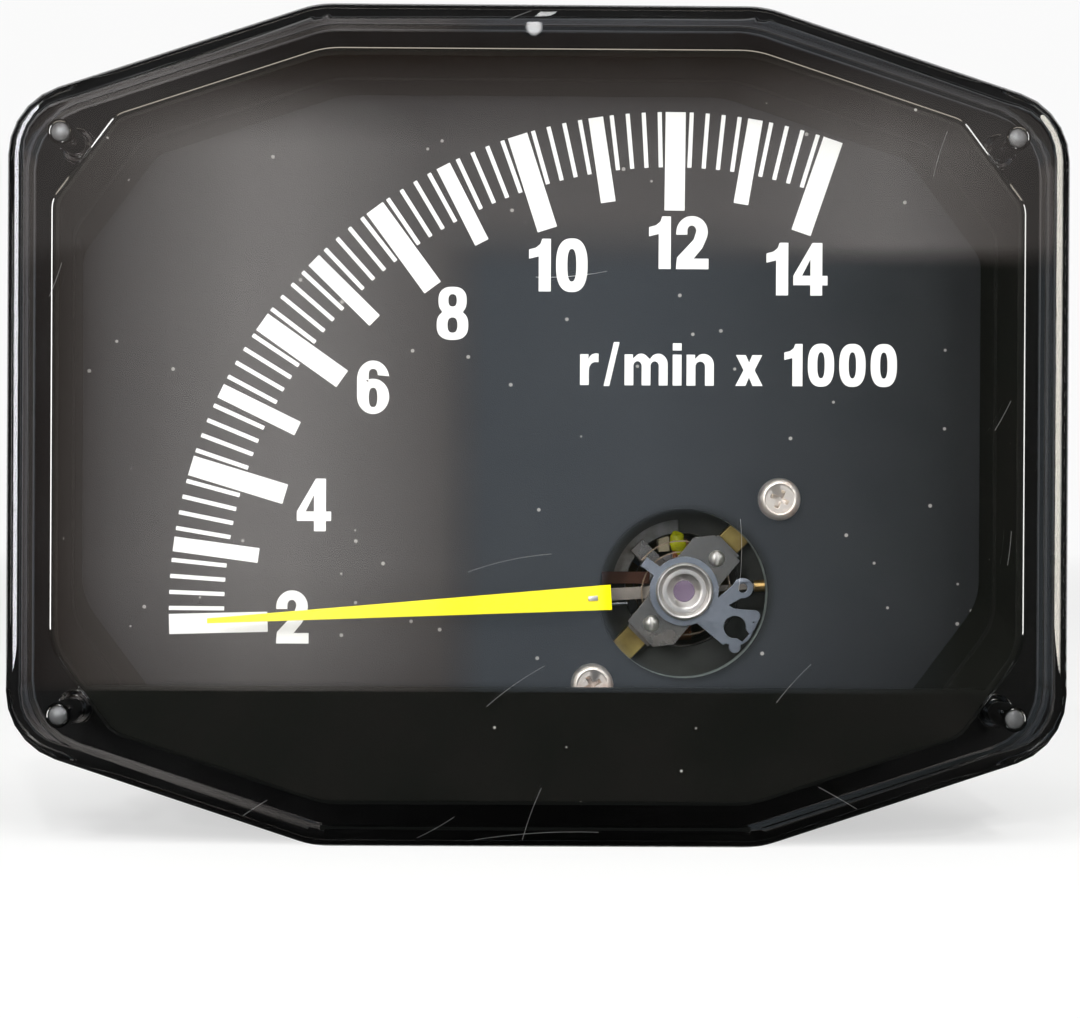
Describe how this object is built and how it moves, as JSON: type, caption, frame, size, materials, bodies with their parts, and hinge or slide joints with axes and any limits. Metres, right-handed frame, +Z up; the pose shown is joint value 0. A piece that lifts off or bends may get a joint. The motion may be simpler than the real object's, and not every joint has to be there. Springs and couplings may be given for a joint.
{
  "type": "tachometer",
  "caption": "Electronic racing tachometer with an eight-sided clear cover, offset long pointer over a black dial, open moving-coil movement and two rubber-mounted studs behind.",
  "frame": {"origin": "middle of the whole instrument's bounding box, from the window's front to the studs' ends", "axes": "+Z up with the dial upright, +X to the right of someone who reads the dial, -Y out of the face towards them, so +Y points out of the back along the mounting studs"},
  "size_m": [0.105, 0.07, 0.0834],
  "materials": {
    "clear_acrylic": "polished, clear",
    "gasket_rubber": "matt black foam",
    "zinc_steel": "zinc plate",
    "case_black": "satin black moulding",
    "mask_black": "matt black",
    "dial_black": "matt black paint on sheet",
    "white_print": "screen-printed ink",
    "nickel": "nickel plate",
    "pointer_yellow": "matt yellow paint on sheet",
    "bare_aluminium": "satin",
    "balance_brass": "turned",
    "pivot_steel": "polished",
    "copper_wire": "varnished copper, wound",
    "spring_bronze": "bright strip",
    "lever_steel": "grey-blue stamped sheet",
    "plated_brass": "nickel plate over brass",
    "ruby": "polished",
    "bridge_steel": "bright sheet",
    "bright_steel": "polished",
    "magnet_alloy": "ground",
    "soft_iron": "dull zinc plate",
    "carrier_brass": "turned brass",
    "frame_black": "moulded",
    "block_cream": "moulded",
    "laminate_brown": "varnished laminate",
    "board_laminate": "paper laminate with varnish",
    "component_black": "moulded",
    "resistor_tan": "lacquer",
    "film_red": "dipped lacquer",
    "sleeve_blue": "shrunk sleeve",
    "diode_glass": "glass bead",
    "trimmer_blue": "moulded",
    "trimmer_white": "moulded",
    "plug_rubber": "soft",
    "blade_brass": "tinned brass",
    "mount_rubber": "matt"
  },
  "bodies": {
    "housing": {"cover": "clear_acrylic", "gasket": "gasket_rubber", "cover_screws": "zinc_steel", "case": "case_black", "mask": "mask_black", "dial": "dial_black", "scale_marks": "white_print", "dial_screws": "nickel", "rear_hairspring": "spring_bronze", "rear_spring_tab": "lever_steel", "lock_nuts": "plated_brass", "jewel_screws": "plated_brass", "jewels": "ruby", "bridges": "bridge_steel", "bridge_feet": "bridge_steel", "bridge_screws": "bright_steel", "core_magnet": "magnet_alloy", "core_straps": "bridge_steel", "soft_iron_ring": "soft_iron", "movement_frame": "frame_black", "coil_stop": "block_cream", "arm_stop": "pivot_steel", "lead_strip": "laminate_brown", "dial_carrier": "carrier_brass", "movement_base": "bare_aluminium", "movement_screws": "zinc_steel", "movement_leads": "copper_wire", "circuit_board": "board_laminate", "board_screws": "zinc_steel", "chip": "component_black", "transistor": "component_black", "resistors": "resistor_tan", "film_capacitors": "film_red", "electrolytic_capacitors": "sleeve_blue", "diodes": "diode_glass", "trimmer_body": "trimmer_blue", "terminal_block": "component_black", "terminal_blades": "blade_brass", "stud_inserts": "balance_brass", "mounting_rubbers": "mount_rubber", "mounting_studs": "zinc_steel"},
    "pointer_and_coil": {"pointer": "pointer_yellow", "pointer_rivet": "bright_steel", "pointer_arm": "bare_aluminium", "balance_weight": "balance_brass", "pivot_staffs": "pivot_steel", "coil_former": "bare_aluminium", "coil_winding": "copper_wire"},
    "zero_lever_and_spring": {"zero_lever": "lever_steel", "front_hairspring": "spring_bronze"},
    "trimmer_rotor": {"trimmer_rotor": "trimmer_white"},
    "calibration_plug": {"calibration_plug": "plug_rubber"}
  },
  "joints": [
    {"name": "pointer_swing", "type": "hinge", "parent": "housing", "child": "pointer_and_coil", "pos_m": [0.0151, 0, -0.0166], "axis": [0, 1, 0], "range_deg": [0, 112], "stiffness_Nm_per_rad": 0.00001, "springref_deg": -8.59, "deforming": ["front_hairspring", "rear_hairspring"]},
    {"name": "zero_adjust", "type": "hinge", "parent": "housing", "child": "zero_lever_and_spring", "pos_m": [0.0151, 0, -0.0166], "axis": [0, 1, 0], "range_deg": [-8, 8]},
    {"name": "trimmer_turn", "type": "hinge", "parent": "housing", "child": "trimmer_rotor", "pos_m": [-0.031, 0.01, -0.013], "axis": [0, 1, 0], "range_deg": [-135, 135]},
    {"name": "plug_pull", "type": "slide", "parent": "housing", "child": "calibration_plug", "axis": [0, 1, 0], "range_m": [0, 0.012]}
  ]
}
